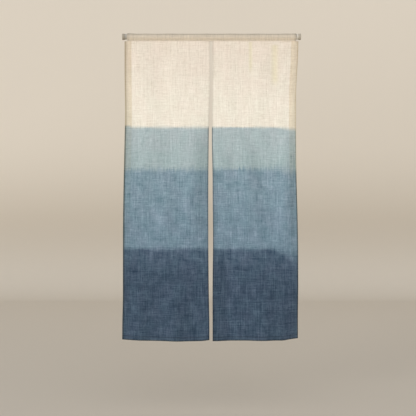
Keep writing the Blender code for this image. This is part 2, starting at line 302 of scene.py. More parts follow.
# Dye bands. Each begins at one drop on the left panel, at another on the right, and lower at the right end.
# The left hem draws it higher by its wick, and it is softer at the right end by its blur. Its bleed is how
# far it creeps up the threads, and its slub hue is how strongly a slub changes its red, green and blue
Dye = namedtuple("Dye", "left right end wick height softness blur bleed top low slub_hue")
DYES = (
    Dye(
        left=0.4419, right=0.4418, end=0.4515, wick=0.0065,
        height=0.20, softness=0.018, blur=1.0, bleed=0.010,
        top=tone(174, 187, 187), low=tone(164, 180, 180), slub_hue=(1.125, 0.956, 0.943, 1.0),
    ),
    Dye(
        left=0.6480, right=0.6444, end=0.6560, wick=0.0,
        height=0.39, softness=0.034, blur=2.0, bleed=0.062,
        top=tone(130, 152, 163), low=tone(118, 141, 155), slub_hue=(1.22, 0.945, 0.906, 1.0),
    ),
    Dye(
        left=1.0352, right=1.0370, end=1.0650, wick=0.0,
        height=0.15, softness=0.026, blur=2.2, bleed=0.014,
        top=tone(78, 97, 115), low=tone(64, 82, 100), slub_hue=(1.27, 1.02, 0.835, 1.0),
    ),
)
CREAM_SLUB_HUE = (0.86, 0.98, 1.16, 1.0)
CREAM_TOP = tone(231, 218, 200)
CREAM_LOW = tone(240, 231, 213)
GREEN_TINGE = (0.955, 1.010, 0.995, 1.0)
RED_TINGE = (1.040, 0.990, 1.005, 1.0)
# HEM_TINGE warms the outer hem, and paints a warm reflection on the outer edge line and the bottom rim
HEM_TINGE = (1.0, 0.92, 0.76, 1.0)
YELLOW_TINT = (0.93, 0.94, 0.76, 1.0)
# The heading's tone is the panels' cream cloth darkened by painted shade, where the rod stops light coming
# through
HEADING_SHADED_TONE = tone(205, 192, 172)
TOP_SHADE_TINGE = (1.0, 0.95, 0.72, 1.0)
THREAD_TONE = tone(214, 202, 184)
ENAMEL_TONE = tone(214, 206, 190)
RUBBER_TONE = tone(172, 162, 144)
BACKDROP_HIGH = tone(210, 200, 184)
BACKDROP_LOW = tone(187, 176, 159)
FLOOR_TONE = tone(209, 200, 185)


# Shapes

def soft_step(share):
    """Goes softly from 0 to 1 with a share, and stays there past both ends."""
    share = np.clip(share, 0.0, 1.0)
    return share * share * (3.0 - 2.0 * share)


def hump(distance, width):
    """1 in the middle of a soft hump, dying away to both sides."""
    return np.exp(-((distance / width) ** 2))


def read_smooth(places, values, at):
    """Reads a smooth curve through a table's points, held level past its two ends."""
    places, values = np.array(places), np.array(values)
    slopes = np.gradient(values, places)
    at = np.clip(at, places[0], places[-1])
    first = np.clip(np.searchsorted(places, at, side="right") - 1, 0, len(places) - 2)
    span = places[first + 1] - places[first]
    t = (at - places[first]) / span
    return (
        values[first] * (1.0 + 2.0 * t) * (1.0 - t) ** 2
        + values[first + 1] * (3.0 - 2.0 * t) * t**2
        + span * (slopes[first] * t * (1.0 - t) ** 2 + slopes[first + 1] * (t - 1.0) * t**2)
    )


def seam_sway(x):
    return sum(height * np.sin(2.0 * math.pi * x / length + start) for length, height, start in SEAM_WAVES)


def relief(x, drop, folds):
    """How far the folds bring the cloth forward at one place. Each fades over a third of its length."""
    total = np.zeros_like(x)
    for x_top, drop_top, x_low, drop_low, width, depth in folds:
        along = (drop - drop_top) / (drop_low - drop_top)
        fade_in = 1.0 if drop_top == 0.0 else soft_step(3.0 * along)
        strength = fade_in * soft_step(3.0 * (1.0 - along))
        middle = x_top + (x_low - x_top) * np.clip(along, 0.0, 1.0)
        total = total + depth * strength * hump(x - middle, width)
    return total * soft_step((drop - LIP_DROP) / FOLD_START)


class PanelShape:
    """One panel's hanging shape: where a spot of its cloth lies, from its edges, lifts and folds."""

    def __init__(self, edges, lifts, folds):
        self.drops, self.outers, self.inners = zip(*edges)
        self.lift_places, self.rises = zip(*lifts)
        self.folds = folds
        self.leftwards = self.outers[0] < self.inners[0]

    def lies(self, distance, drop, behind):
        """The place of a spot at a distance from the outer edge, at a drop and so far behind the front."""
        outer = read_smooth(self.drops, self.outers, drop)
        inner = read_smooth(self.drops, self.inners, drop)
        x = outer + (inner - outer) * distance / PANEL_WIDTH
        corner = soft_step(1.0 - distance / CORNER_RUN) * soft_step(1.0 - drop / CORNER_FADE)
        rise = read_smooth(self.lift_places, self.rises, x)
        lift = rise * soft_step((drop - LIFT_START) / (PANEL_BOTTOM_DROP - LIFT_START))
        calm = 1.0 - TOP_CALM * soft_step(1.0 - (drop - CALM_DROP) / CALM_RUN)
        y = seam_sway(x) - relief(x, drop, self.folds) * calm + FRONT_SHIFT + behind
        return np.stack([x, y, lift - drop - CORNER_DROP * corner], axis=-1)


def hem_zone(distance):
    """1 where a side hem doubles the cloth, 0 in the middle of a panel."""
    outer = soft_step((OUTER_HEM + HEM_EASE - distance) / HEM_EASE_RUN)
    inner = soft_step((distance - PANEL_WIDTH + INNER_HEM + HEM_EASE) / HEM_EASE_RUN)
    return np.maximum(outer, inner)


def across_path():
    """A panel from its outer hem's free edge, round both turns, to its inner hem's free edge.

    Each point is its distance from the outer edge, how far behind it lies, and the cloth's run so far.
    """
    half = LAYER / 2.0
    far = PANEL_WIDTH - half
    outer_hem = np.linspace(OUTER_HEM, half + SMALL_STEP, OUTER_HEM_COLUMNS)
    inner_hem = np.linspace(far - SMALL_STEP, PANEL_WIDTH - INNER_HEM, INNER_HEM_COLUMNS)
    spots = [(d, LAYER, -d) for d in outer_hem]
    spots += [(half - half * math.cos(a), half - half * math.sin(a), half * a) for a in HALF_TURN]
    spots += [(d, 0.0, d) for d in np.linspace(half, far, PANEL_COLUMNS + 1)[1:-1]]
    spots += [(far + half * math.cos(a), half + half * math.sin(a), far + half * a) for a in HALF_TURN]
    spots += [(d, LAYER, 2.0 * PANEL_WIDTH - d) for d in inner_hem]
    return np.array(spots)


def down_path():
    """A panel from its top edge, round its bottom edge, to its bottom hem's free edge.

    Each point is a share of the way down the front, the turn's angle, a share of the way up the hem, and the
    cloth's run so far.
    """
    reach = PANEL_BOTTOM_DROP - PANEL_TOP_DROP
    front = [(share, HALF_TURN[0], 0.0, reach * share) for share in np.linspace(0.0, 1.0, PANEL_ROWS)]
    turn = [(1.0, angle, 0.0, reach) for angle in HALF_TURN[1:]]
    up_hem = np.linspace(0.0, 1.0, BOTTOM_HEM_ROWS)[1:]
    hem = [(1.0, HALF_TURN[-1], share, reach + BOTTOM_HEM * share) for share in up_hem]
    return np.array(front + turn + hem)


def sheet_piece(name, spots, runs):
    """A grid of cloth with a row of points for each row of spots, its run in metres kept as its UV map."""
    rows, columns = spots.shape[:2]
    bpy.ops.mesh.primitive_grid_add(x_subdivisions=columns - 1, y_subdivisions=rows - 1, size=2.0)
    sheet = bpy.context.object
    sheet.name = name
    mesh = sheet.data
    mesh.name = name
    flat = np.zeros(len(mesh.vertices) * 3)
    mesh.vertices.foreach_get("co", flat)
    flat = flat.reshape(-1, 3)
    column = np.rint((flat[:, 0] + 1.0) / 2.0 * (columns - 1)).astype(int)
    row = np.rint((flat[:, 1] + 1.0) / 2.0 * (rows - 1)).astype(int)
    mesh.vertices.foreach_set("co", spots[row, column].ravel())
    corners = np.zeros(len(mesh.loops), dtype=int)
    mesh.loops.foreach_get("vertex_index", corners)
    mesh.uv_layers.active.data.foreach_set("uv", runs[row, column][corners].ravel())
    mesh.update()
    mesh.shade_smooth()
    solid = sheet.modifiers.new("Thickness", "SOLIDIFY")
    solid.thickness = CLOTH
    solid.offset = 0.0
    solid.use_even_offset = True
    apply_last(sheet)
    return sheet


def apply_last(piece):
    bpy.ops.object.select_all(action="DESELECT")
    piece.select_set(True)
    bpy.context.view_layer.objects.active = piece
    bpy.ops.object.modifier_apply(modifier=piece.modifiers[-1].name)


def build_panel(name, shape):
    """A panel as one sheet, its side hems and its bottom hem folded to the back."""
    across = across_path()
    down = down_path()
    if not shape.leftwards:
        across = across[::-1]
    down = down[::-1]
    distance, side_behind, run_across = (across[:, index][None, :] for index in range(3))
    share, angle, up, run_down = (down[:, index][:, None] for index in range(4))
    half_stack = LAYER * (0.5 + hem_zone(distance))
    turn_drop = PANEL_BOTTOM_DROP - half_stack
    radius = half_stack - side_behind
    drop = PANEL_TOP_DROP + (turn_drop - PANEL_TOP_DROP) * share + radius * np.cos(angle) - BOTTOM_HEM * up
    behind = half_stack + radius * np.sin(angle)
    spots = shape.lies(distance + 0.0 * drop, drop, behind)
    runs = np.stack([run_across + 0.0 * drop, run_down + 0.0 * drop], axis=-1)
    return sheet_piece(name, spots, runs)


def heading_path():
    """The heading's middle line, in Y and Z, from the front's turned-in edge over the rod to the back's.

    Each point also has how much of a pucker's rise and of the seam's sway it takes, and the run so far.
    """
    turned_in, turned, closed, rising, over = HEADING_ROWS
    lean = math.atan2(SEAM_SPACE, SEAM_DROP)
    reach = math.hypot(SEAM_SPACE, SEAM_DROP)
    leave = lean + math.acos(HEADING_RADIUS / reach)
    low = LIP_DROP - LIP_TURN
    middle = SEAM_SPACE - LIP_TURN
    inside = np.linspace(LIP_DROP - LIP_TURN_IN, low, turned_in)
    front = [(LIP_TURN - middle, -drop, 0.0, 1.0) for drop in inside]
    for angle in np.linspace(0.0, math.pi, turned)[1:]:
        y = LIP_TURN * math.cos(angle) - middle
        front.append((y, -low - LIP_TURN * math.sin(angle), 0.0, 1.0))
    outside = np.linspace(LIP_DROP, SEAM_DROP, closed)[1:]
    front += [(-SEAM_SPACE, -drop, 0.0, 1.0) for drop in outside]
    for share in np.linspace(0.0, 1.0, rising)[1:-1]:
        y = -SEAM_SPACE + share * (SEAM_SPACE - HEADING_RADIUS * math.sin(leave))
        z = -SEAM_DROP + share * (SEAM_DROP - HEADING_RADIUS * math.cos(leave))
        front.append((y, z, 0.0, 1.0 - share))
    arc = []
    for angle in np.linspace(leave, 2.0 * math.pi - leave, over):
        rise = math.sin((angle - leave) / (2.0 * math.pi - 2.0 * leave) * math.pi)
        arc.append((-HEADING_RADIUS * math.sin(angle), -HEADING_RADIUS * math.cos(angle), rise, 0.0))
    back = [(-y, z, rise, sway) for y, z, rise, sway in reversed(front)]
    line = np.array(front + arc + back)
    steps = np.hypot(np.diff(line[:, 0]), np.diff(line[:, 1]))
    run = np.concatenate([[0.0], np.cumsum(steps)])
    return np.column_stack([line, run])


def gather_depth(x, z):
    """How far the short gathers bring the heading's cloth out, fading from the seam up to the rod's top."""
    total = 0.0
    for x_seam, lean, width, depth in GATHERS:
        total = total + depth * hump(x - x_seam - lean * (z + SEAM_DROP), width)
    return total * soft_step((GATHER_TOP - z) / GATHER_FADE)


def build_heading():
    """The strip that is folded over the rod, with its puckers and gathers."""
    path = heading_path()[:, :, None]
    y, z, rise_share, sway_share, run = (path[:, index] for index in range(5))
    x = np.linspace(HEADING_LEFT, HEADING_RIGHT, HEADING_COLUMNS)[None, :]
    rise = sum(rise * hump(x - middle, width) for middle, width, rise, _ in PUCKERS)
    sag = sum(sag * hump(x - middle, width) for middle, width, _, sag in PUCKERS)
    lip_share = soft_step((-z - SEAM_DROP) / (LIP_DROP - SEAM_DROP))
    swell = np.maximum(gather_depth(x, z), -GATHER_SINK) * (np.abs(y) > GATHER_CLEAR)
    out = 1.0 + (rise * rise_share + swell) / np.hypot(y, z)
    spots = np.stack([x + 0.0 * z, y * out + seam_sway(x) * sway_share, z * out - sag * lip_share], axis=-1)
    runs = np.stack([x + 0.0 * z, run + 0.0 * x], axis=-1)
    return sheet_piece("heading_cloth", spots, runs)


# Stitches

def one_stitch():
    """A single stitch, lying along X and standing out along Z, as lists of points and faces."""
    bpy.ops.mesh.primitive_uv_sphere_add(segments=6, ring_count=4, radius=0.5)
    stitch = bpy.context.object
    bpy.ops.transform.rotate(value=math.pi / 2.0, orient_axis="Y", center_override=(0.0, 0.0, 0.0))
    bpy.ops.transform.resize(value=(STITCH_LENGTH, STITCH_THICKNESS, STITCH_THICKNESS))
    bpy.ops.object.transform_apply()
    points = np.array([point.co for point in stitch.data.vertices])
    faces = [list(face.vertices) for face in stitch.data.polygons]
    bpy.data.objects.remove(stitch, do_unlink=True)
    return points, faces


def sew(name, seams):
    """Joined stitches. A seam is a line of places, and the way out of the cloth at each."""
    stitch, stitch_faces = one_stitch()
    points, faces = [], []
    for line, outward in seams:
        along = np.gradient(line, axis=0)
        along /= np.linalg.norm(along, axis=1)[:, None]
        aside = np.cross(outward, along)
        aside /= np.linalg.norm(aside, axis=1)[:, None]
        up = np.cross(along, aside)
        for index in range(len(line)):
            turn = np.array([along[index], aside[index], up[index]])
            start = len(points) * len(stitch)
            points.append(stitch @ turn + line[index])
            faces += [[start + corner for corner in face] for face in stitch_faces]
    mesh = bpy.data.meshes.new(name)
    mesh.from_pydata(np.concatenate(points).tolist(), [], faces)
    mesh.update()
    mesh.shade_smooth()
    piece = bpy.data.objects.new(name, mesh)
    bpy.context.scene.collection.objects.link(piece)
    return piece


def panel_seam(shape, distances, drops, behind, facing):
    """A line of stitches on a panel's front, facing -1, or on the back of a hem, facing 1."""
    level = behind + facing * STITCH_PROUD
    line = shape.lies(distances, drops, level)
    side = shape.lies(distances + SMALL_STEP, drops, level) - line
    below = shape.lies(distances, drops + SMALL_STEP, level) - line
    outward = np.cross(side, below)
    outward *= (np.sign(outward[:, 1]) * facing)[:, None]
    return line, outward


def sew_panel(name, shape):
    """The seams of the outer, the inner and the bottom hem, each with its stitches on both faces."""
    drops = np.arange(STITCH_TOP_DROP, PANEL_BOTTOM_DROP - STITCH_INSET - SMALL_STEP, STITCH_PITCH)
    above = drops < PANEL_BOTTOM_DROP - BOTTOM_HEM
    seams = []
    for distance in (OUTER_HEM - STITCH_INSET, PANEL_WIDTH - INNER_HEM + STITCH_INSET):
        place = np.full_like(drops, distance)
        seams.append(panel_seam(shape, place, drops, 0.0, -1.0))
        seams.append(panel_seam(shape, place[above], drops[above], LAYER, 1.0))
    distances = np.arange(STITCH_PITCH, PANEL_WIDTH - STITCH_PITCH / 2.0, STITCH_PITCH)
    level = np.full_like(distances, PANEL_BOTTOM_DROP - BOTTOM_HEM + STITCH_INSET)
    seams.append(panel_seam(shape, distances, level, 0.0, -1.0))
    back = 2.0 * LAYER * (0.5 + hem_zone(distances))
    seams.append(panel_seam(shape, distances, level, back, 1.0))
    return sew(name, seams)


def sew_heading():
    """The seam that closes the heading on the panels, on both faces."""
    x = np.arange(HEADING_LEFT + STITCH_PITCH / 2.0, HEADING_RIGHT, STITCH_PITCH)
    seams = []
    for facing in (-1.0, 1.0):
        y = seam_sway(x) + facing * (SEAM_SPACE + STITCH_PROUD)
        line = np.stack([x, y, np.full_like(x, -SEAM_THREAD_DROP)], axis=-1)
        seams.append((line, np.tile([0.0, facing, 0.0], (len(x), 1))))
    return sew("heading_stitches", seams)


# Rod and caps

def to_mode(mode):
    bpy.ops.object.mode_set(mode=mode)


def round_bar(name, radius, low, high):
    """A closed round bar along X between two places."""
    middle = ((low + high) / 2.0, 0.0, 0.0)
    turn = (0.0, math.pi / 2.0, 0.0)
    bpy.ops.mesh.primitive_cylinder_add(
        vertices=ROUND_STEPS, radius=radius, depth=high - low, location=middle, rotation=turn
    )
    bar = bpy.context.object
    bar.name = name
    bar.data.name = name
    bpy.ops.object.transform_apply()
    return bar


def select_end(bar, at):
    """Goes into edit mode with the end face at one X selected."""
    to_mode("EDIT")
    bpy.context.tool_settings.mesh_select_mode = (False, False, True)
    bpy.ops.mesh.select_all(action="DESELECT")
    to_mode("OBJECT")
    for face in bar.data.polygons:
        face.select = abs(face.center.x - at) < FIT and abs(face.normal.x) > 0.9
    to_mode("EDIT")


def step_end(inwards, deeper):
    """Insets the selected end face and pushes the new face along X."""
    bpy.ops.mesh.inset(thickness=inwards, depth=0.0)
    if deeper:
        bpy.ops.mesh.extrude_region_move(TRANSFORM_OT_translate={"value": (deeper, 0.0, 0.0)})


def ease_rims(piece, width):
    """Rounds a piece's sharp rims and shades the rest smooth."""
    to_mode("OBJECT")
    bevel = piece.modifiers.new("Rims", "BEVEL")
    bevel.width = width
    bevel.segments = 4
    bevel.limit_method = "ANGLE"
    bevel.angle_limit = math.radians(40.0)
    apply_last(piece)
    bpy.ops.object.shade_smooth_by_angle(angle=math.radians(35.0))


def build_rod():
    """The enamelled tube, open inside from end to end."""
    end = ROD_SPAN / 2.0 - CAP_WALL - FIT
    rod = round_bar("rod_tube", ROD_RADIUS, -end, end)
    to_mode("EDIT")
    bpy.ops.mesh.select_all(action="DESELECT")
    to_mode("OBJECT")
    for face in rod.data.polygons:
        face.select = abs(face.normal.x) > 0.9
    to_mode("EDIT")
    bpy.ops.mesh.inset(thickness=ROD_WALL, depth=0.0, use_individual=True)
    bpy.ops.mesh.bridge_edge_loops()
    ease_rims(rod, ROD_RIM)
    return rod


def build_cap(name, side):
    """A rubber cap: a thick round foot at its outside, and a collar over the rod's end."""
    outside = side * ROD_SPAN / 2.0
    step = outside - side * CAP_FOOT
    cap = round_bar(name, CAP_RADIUS, min(outside, step), max(outside, step))
    select_end(cap, step)
    step_end(CAP_RADIUS - CAP_COLLAR_RADIUS, -side * (CAP_LENGTH - CAP_FOOT))
    step_end(CAP_COLLAR_RADIUS - ROD_RADIUS - FIT, side * (CAP_LENGTH - CAP_WALL))
    select_end(cap, outside)
    step_end(CAP_RING_INSET, 0.0)
    step_end(CAP_RING_DEPTH, -side * CAP_RING_DEPTH)
    ease_rims(cap, CAP_RIM)
    return cap


# Finishes

# Noise: lumps to the metre across and down, how fine its detail is, and where it starts
Grain = namedtuple("Grain", "across down detail start")
WOBBLE = Grain(60, 60, 1, 0)
WARP_SLUBS = Grain(620, 26, 2, 1)
WEFT_SLUBS = Grain(24, 620, 2, 2)
DYE_RUNS = Grain(260, 9, 2, 6)
DYE_POOLS = Grain(28, 6, 2, 7)
DYE_SPREAD = Grain(7, 3, 1, 18)
DYE_DRIPS = Grain(180, 7, 2, 17)
DYE_CLOUDS = Grain(24, 22, 3, 19)
UNEVEN_HUE = Grain(14, 11, 2, 16)
THREAD_PLY = Grain(900, 900, 2, 11)
DUST = Grain(900, 900, 3, 8)
RUBBED = Grain(30, 700, 2, 9)
PITTED = Grain(1500, 1500, 2, 10)
PAPER_FIBRE = Grain(90, 90, 3, 12)

# Light and dark dashes of slub yarn, and longer streaks of pooled dye, each with how much it shows
SLUB_DASHES = (
    (Grain(190, 11, 1, 3), 0.78),
    (Grain(22, 210, 1, 4), 0.70),
    (Grain(8, 170, 1, 23), 0.36),
    (Grain(280, 50, 1, 13), 0.65),
    (Grain(56, 300, 1, 14), 0.50),
    (Grain(100, 6, 1, 15), 0.34),
)
DYE_STREAKS = (
    (Grain(4, 120, 2, 20), 0.45),
    (Grain(150, 6, 2, 21), 0.46),
)

# Weave: its threads, how strong a noise makes a slub or a dash, what slubs add, and painted shade in the
# pits
WEAVE_PITCH = 0.0010
THREAD_HEIGHT = 0.6
THREAD_DIP = 0.4
SLUB_LIMITS = (0.08, 0.22)
DASH_LIMITS = (0.03, 0.20)
SLUB_SHADE = -0.5
SLUB_HEIGHT = 0.8
PIT_SHADE = 0.5

# Bumps, each with its strength and height, and how the surfaces reflect light and wear
WEAVE_BUMP = (0.55, 0.00035)
THREAD_BUMP = (0.4, 0.0001)
HARD_BUMP = (0.15, 0.00005)
CLOTH_SHINE = dict(Sheen_Weight=0.12, Sheen_Roughness=0.6, Specular_IOR_Level=0.25)
THREAD_SHINE = dict(Roughness=0.75, Sheen_Weight=0.1, Specular_IOR_Level=0.3)
# Each finish's wear also gives the share of painted shade at the rod's left end
ENAMEL_WEAR_AND_SHADE = dict(wear=0.6, left_dulling=0.36, Roughness=0.28, Coat_Weight=0.3, Coat_Roughness=0.12)
RUBBER_WEAR_AND_SHADE = dict(wear=1.0, left_dulling=0.03, Roughness=0.6, Specular_IOR_Level=0.4)

# Soft changes: two limits, and for some the value at each
DRIPS = (-0.02, 0.20, 1.0, 0.95)
DRIPS_BELOW_EDGE = (0.02, 0.10)
SPREADING = (-0.16, 0.16, 0.45, 1.65)
CREAM_RANGE = (0.03, 0.40)
LEFT_HEM_X = (-0.405, -0.385)
SLIT_X = (-0.02, 0.02)
RIGHT_END_X = (0.30, 0.40)
BLURRED_X = (0.27, 0.40)
HUE_RANGE = (-0.18, 0.18)
DUST_RANGE = (0.05, 0.25)
RUBBED_RANGE = (0.08, 0.22)
LEFT_CAP_X = (-0.38, -0.36)
# Painted shade along the heading's top with a warm tinge, painted light lower down, and a painted shadow
# line along its lip
TOP_PAINTED_SHADE = (0.0045, 0.0100, 0.0, 0.27)
HEIGHT_PAINTED_LIGHT = (-0.014, 0.005, 1.24, 0.945)
LIP_SHADE = (-0.0170, -0.0145, 0.89, 1.0)
# Painted shade over the heading's end hems, at both ends
LEFT_END_SHADE = (HEADING_LEFT + 0.004, HEADING_LEFT + 0.014, 0.80, 1.0)
RIGHT_END_SHADE = (HEADING_RIGHT - 0.014, HEADING_RIGHT - 0.004, 1.0, 0.88)


class Board:
    """Lays out one node tree: adds nodes and joins them, taking a number or a socket for each input."""

    def __init__(self, tree):
        self.tree = tree

    def add(self, kind, **settings):
        node = self.tree.nodes.new(kind)
        for setting, value in settings.items():
            setattr(node, setting, value)
        return node

    def put(self, socket, value):
        if isinstance(value, bpy.types.NodeSocket):
            self.tree.links.new(value, socket)
        else:
            socket.default_value = value

    def feed(self, node, *values):
        """Fills a node's first inputs and gives its first output."""
        for socket, value in zip(node.inputs, values):
            self.put(socket, value)
        return node.outputs[0]

    def place(self, kind):
        """Where a spot lies: along its cloth with UV, in space with Object."""
        return self.add("ShaderNodeTexCoord").outputs[kind]

    def maths(self, how, *values):
        return self.feed(self.add("ShaderNodeMath", operation=how), *values)

    plus = partialmethod(maths, "ADD")
    minus = partialmethod(maths, "SUBTRACT")
    times = partialmethod(maths, "MULTIPLY")
    size = partialmethod(maths, "ABSOLUTE")
    times_plus = partialmethod(maths, "MULTIPLY_ADD")

    def vectors(self, how, *values):
        return self.feed(self.add("ShaderNodeVectorMath", operation=how), *values)

    def fade(self, value, low, high, at_low=0.0, at_high=1.0):
        """Goes softly from one value to another as the input runs between two limits."""
        node = self.add("ShaderNodeMapRange", interpolation_type="SMOOTHSTEP")
        return self.feed(node, value, low, high, at_low, at_high)

    def mix(self, share, first, second, how="MIX"):
        node = self.add("ShaderNodeMix", data_type="RGBA", blend_type=how)
        for name, value in (("Factor_Float", share), ("A_Color", first), ("B_Color", second)):
            self.put(next(socket for socket in node.inputs if socket.identifier == name), value)
        return next(socket for socket in node.outputs if socket.identifier == "Result_Color")

    def shade(self, colour, amount):
        node = self.add("ShaderNodeVectorMath", operation="SCALE")
        self.put(node.inputs["Scale"], amount)
        return self.feed(node, colour if isinstance(colour, bpy.types.NodeSocket) else colour[:3])

    def shade_by_hue(self, colour, amount, hue):
        """A colour times a number, its change stronger in some of red, green and blue than in others."""
        change = self.shade(hue, self.minus(amount, 1.0))
        return self.vectors("MULTIPLY_ADD", colour, change, colour)

    def grain(self, place, grain):
        """Noise about zero."""
        noise = self.add("ShaderNodeTexNoise", noise_dimensions="4D")
        self.put(noise.inputs["Vector"], self.vectors("MULTIPLY", place, (grain.across, grain.down, 1.0)))
        for name, value in (("W", grain.start), ("Scale", 1.0), ("Detail", grain.detail)):
            self.put(noise.inputs[name], value)
        return self.minus(noise.outputs["Fac"], 0.5)

    def dashes(self, place, grain):
        """Light and dark marks from -1 to 1, with even ground between them."""
        noise = self.grain(place, grain)
        low, high = DASH_LIMITS
        return self.plus(self.fade(noise, low, high), self.fade(noise, -high, -low, -1.0, 0.0))

    def split(self, place):
        node = self.add("ShaderNodeSeparateXYZ")
        self.feed(node, place)
        return tuple(node.outputs)

    def use(self, group, **values):
        """Places a group, its inputs given by name with _ for a space."""
        node = self.add("ShaderNodeGroup")
        node.node_tree = group
        for name, value in values.items():
            self.put(node.inputs[name.replace("_", " ")], value)
        return node.outputs


def floats(*names):
    return [(name, "Float") for name in names]


def new_group(name, inlets, outlets):
    """A node group that takes a place and more, the board to fill it on, its inputs, and its outputs."""
    group = bpy.data.node_groups.new(name, "ShaderNodeTree")
    for in_out, sockets in (("INPUT", [("Place", "Vector"), *inlets]), ("OUTPUT", outlets)):
        for label, kind in sockets:
            group.interface.new_socket(name=label, in_out=in_out, socket_type="NodeSocket" + kind)
    board = Board(group)
    return group, board, board.add("NodeGroupInput").outputs, board.add("NodeGroupOutput").inputs


def make_weave():
    """Plain weave of uneven slub yarn: how high its threads stand, and its light and dark streaks."""
    group, board, given, result = new_group("slub weave", floats("Contrast"), floats("Tint", "Height"))
    place = given["Place"]
    across, down, _ = board.split(place)
    wobble = board.grain(place, WOBBLE)
    waves = []
    for run in (across, down):
        thread = board.plus(board.maths("DIVIDE", run, WEAVE_PITCH), wobble)
        waves.append(board.maths("SINE", board.times(thread, math.pi)))
    warp, weft = waves
    over = board.times(board.times(warp, weft), THREAD_DIP)
    warp_top = board.times(board.size(warp), board.plus(THREAD_HEIGHT, over))
    weft_top = board.times(board.size(weft), board.minus(THREAD_HEIGHT, over))
    threads = board.maths("MAXIMUM", warp_top, weft_top)
    slubs = board.plus(
        board.fade(board.grain(place, WARP_SLUBS), *SLUB_LIMITS),
        board.fade(board.grain(place, WEFT_SLUBS), *SLUB_LIMITS),
    )
    streaks = board.times(slubs, SLUB_SHADE)
    for grain, share in SLUB_DASHES:
        streaks = board.times_plus(board.dashes(place, grain), share, streaks)
    # Painted shade in the pits between threads
    pits = board.times(board.minus(threads, THREAD_HEIGHT), PIT_SHADE)
    tint = board.times(board.plus(streaks, pits), given["Contrast"])
    board.put(result["Tint"], board.plus(tint, 1.0))
    board.put(result["Height"], board.plus(threads, board.times(slubs, SLUB_HEIGHT)))
    return group


def make_dye_band():
    """One dip of dye: it creeps up the threads unevenly, drips a little, and deepens downwards."""
    inlets = [("Above", "Color"), ("Top", "Color"), ("Low", "Color")]
    inlets += floats("Drop", "Edge", "Height", "Softness", "Bleed")
    group, board, given, result = new_group("dye band", inlets, [("Colour", "Color")] + floats("Cover"))
    place = given["Place"]
    wander = board.times_plus(board.grain(place, DYE_POOLS), 0.35, board.grain(place, DYE_RUNS))
    depth = board.plus(board.minus(given["Drop"], given["Edge"]), board.times(wander, given["Bleed"]))
    spread = board.fade(board.grain(place, DYE_SPREAD), *SPREADING)
    reach = board.times(board.times(given["Softness"], spread), 0.5)
    cover = board.fade(depth, board.times(reach, -1.0), reach)
    drips = board.fade(board.grain(place, DYE_DRIPS), *DRIPS)
    drips = board.fade(depth, *DRIPS_BELOW_EDGE, drips, 1.0)
    deepening = board.fade(depth, 0.0, given["Height"])
    colour = board.shade(board.mix(deepening, given["Top"], given["Low"]), drips)
    board.put(result["Colour"], board.mix(cover, given["Above"], colour))
    board.put(result["Cover"], cover)
    return group


def make_hem():
    """Masks of a panel's doubled edges, from how far across and down the cloth a spot is."""
    masks = ["Outer", "Outer rim", "Outer line", "Inner", "Inner line"]
    masks += ["Bottom", "Bottom rim", "Bottom seam"]
    group, board, given, result = new_group("hem bands", floats("Line width"), floats("Drop", *masks))
    across, down, _ = board.split(given["Place"])
    outside = board.size(across)
    inside = board.size(board.minus(PANEL_WIDTH, across))
    below = board.size(board.minus(PANEL_BOTTOM_DROP - PANEL_TOP_DROP, down))
    from_seam = board.size(board.minus(below, BOTTOM_HEM))
    line = given["Line width"]
    # What each mask is measured from, and the two distances between which it fades away
    measures = (
        (outside, OUTER_HEM - 0.001, OUTER_HEM + 0.001),
        (outside, 0.006, 0.024),
        (outside, line, board.plus(line, 0.003)),
        (inside, 0.006, 0.028),
        (inside, 0.0040, 0.0075),
        (below, BOTTOM_HEM - 0.001, BOTTOM_HEM + 0.001),
        (below, 0.001, 0.008),
        (from_seam, 0.0010, 0.0045),
    )
    for mask, (distance, near, far) in zip(masks, measures):
        board.put(result[mask], board.fade(distance, near, far, 1.0, 0.0))
    board.put(result["Drop"], down)
    return group


def make_handling():
    """Light wear on a hard surface: fine dust, a few rubbed streaks and a slight unevenness."""
    outlets = floats("Tint", "Rough", "Height")
    group, board, given, result = new_group("handling wear", floats("Strength"), outlets)
    dust_and_top_shade = board.fade(board.grain(given["Place"], DUST), *DUST_RANGE)
    rubbed = board.fade(board.grain(given["Place"], RUBBED), *RUBBED_RANGE)
    marks = board.times(board.plus(dust_and_top_shade, rubbed), given["Strength"])
    board.put(result["Tint"], board.minus(1.0, board.times(marks, 0.12)))
    board.put(result["Rough"], board.times(marks, 0.25))
    board.put(result["Height"], board.grain(given["Place"], PITTED))
    return group


WEAVE = make_weave()
DYE_BAND = make_dye_band()
HEM_BANDS = make_hem()
HANDLING = make_handling()


def new_finish(name, **shader_values):
    """A material with its shader's own values set, the board it is laid out on, and the shader."""
    material = bpy.data.materials.new(name)
    material.use_nodes = True
    shader = material.node_tree.nodes["Principled BSDF"]
    for label, value in shader_values.items():
        shader.inputs[label.replace("_", " ")].default_value = value
    return material, Board(material.node_tree), shader


def surface(board, shader, colour, height, bump):
    """Gives a shader its colour, and a bump with this strength and distance."""
    node = board.add("ShaderNodeBump")
    for name, value in zip(("Height", "Strength", "Distance"), (height, *bump)):
        board.put(node.inputs[name], value)
    board.put(shader.inputs["Normal"], node.outputs["Normal"])
    board.put(shader.inputs["Base Color"], colour)


def dip_dye(board, place):
    """The panels' colour from cream through teal and blue to navy, and how much of each dye they took."""
    x, _, z = board.split(board.place("Object"))
    drop = board.times(z, -1.0)
    colour = board.mix(board.fade(drop, *CREAM_RANGE), CREAM_TOP, CREAM_LOW)
    covers = []
    for dye in DYES:
        left = board.fade(x, *LEFT_HEM_X, dye.left - dye.wick, dye.left)
        edge = board.fade(x, *SLIT_X, left, dye.right)
        dipped = board.use(
            DYE_BAND,
            Above=colour,
            Top=dye.top,
            Low=dye.low,
            Drop=drop,
            Edge=board.fade(x, *RIGHT_END_X, edge, dye.end),
            Height=dye.height,
            Softness=board.fade(x, *BLURRED_X, dye.softness, dye.softness * dye.blur),
            Bleed=dye.bleed,
            Place=place,
        )
        colour = dipped["Colour"]
        covers.append(dipped["Cover"])
    return colour, covers
